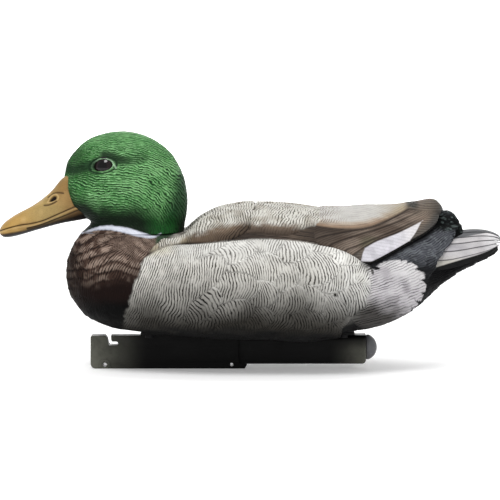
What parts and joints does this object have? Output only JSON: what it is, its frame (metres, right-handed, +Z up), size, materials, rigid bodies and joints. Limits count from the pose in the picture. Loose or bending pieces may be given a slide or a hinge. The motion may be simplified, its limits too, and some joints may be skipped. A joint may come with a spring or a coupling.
{
  "type": "floating duck decoy",
  "caption": "Floating drake duck decoy: hollow feathered body, head that swivels on a neck socket, and a ballasted keel with line holes and a line slot.",
  "frame": {"origin": "middle of the bounding box, on the flat bottom of the keel", "axes": "+X from the bill towards the tail, +Y towards the duck's right side, +Z up"},
  "size_m": [0.42, 0.172, 0.1995],
  "materials": {
    "body_plastic": "matte painted feather texture",
    "head_paint": "matte painted feather texture",
    "bill_paint": "satin paint",
    "eye_glass": "polished",
    "keel_plastic": "moulded, low sheen",
    "socket_plastic": "moulded",
    "ring_plastic": "moulded, natural nylon",
    "seal_rubber": "smooth",
    "screw_steel": "zinc plated",
    "insert_brass": "knurled",
    "ballast_iron": "bare casting"
  },
  "bodies": {
    "hull": {"body_shell": "body_plastic", "neck_socket": "socket_plastic", "vent_plug": "seal_rubber", "keel_inserts": "insert_brass", "keel_gasket": "seal_rubber", "keel_plate": "keel_plastic", "keel_shell": "keel_plastic", "keel_screws": "screw_steel", "ballast_bar": "ballast_iron", "ballast_pad": "seal_rubber"},
    "head": {"head_shell": "head_paint", "bill": "bill_paint", "eye_left": "eye_glass", "eye_right": "eye_glass", "neck_adapter": "socket_plastic", "adapter_screws": "screw_steel", "swivel_o_ring": "seal_rubber", "friction_washer": "screw_steel", "lock_ring": "ring_plastic"},
    "plug": {"ballast_plug": "keel_plastic", "plug_o_ring": "seal_rubber"}
  },
  "joints": [
    {"name": "head_swivel", "type": "hinge", "parent": "hull", "child": "head", "pos_m": [-0.0945, 0, 0.1155], "axis": [0, 0, 1], "range_deg": [-60, 60]},
    {"name": "plug_pull", "type": "slide", "parent": "hull", "child": "plug", "axis": [1, 0, 0], "range_m": [0, 0.03]}
  ]
}
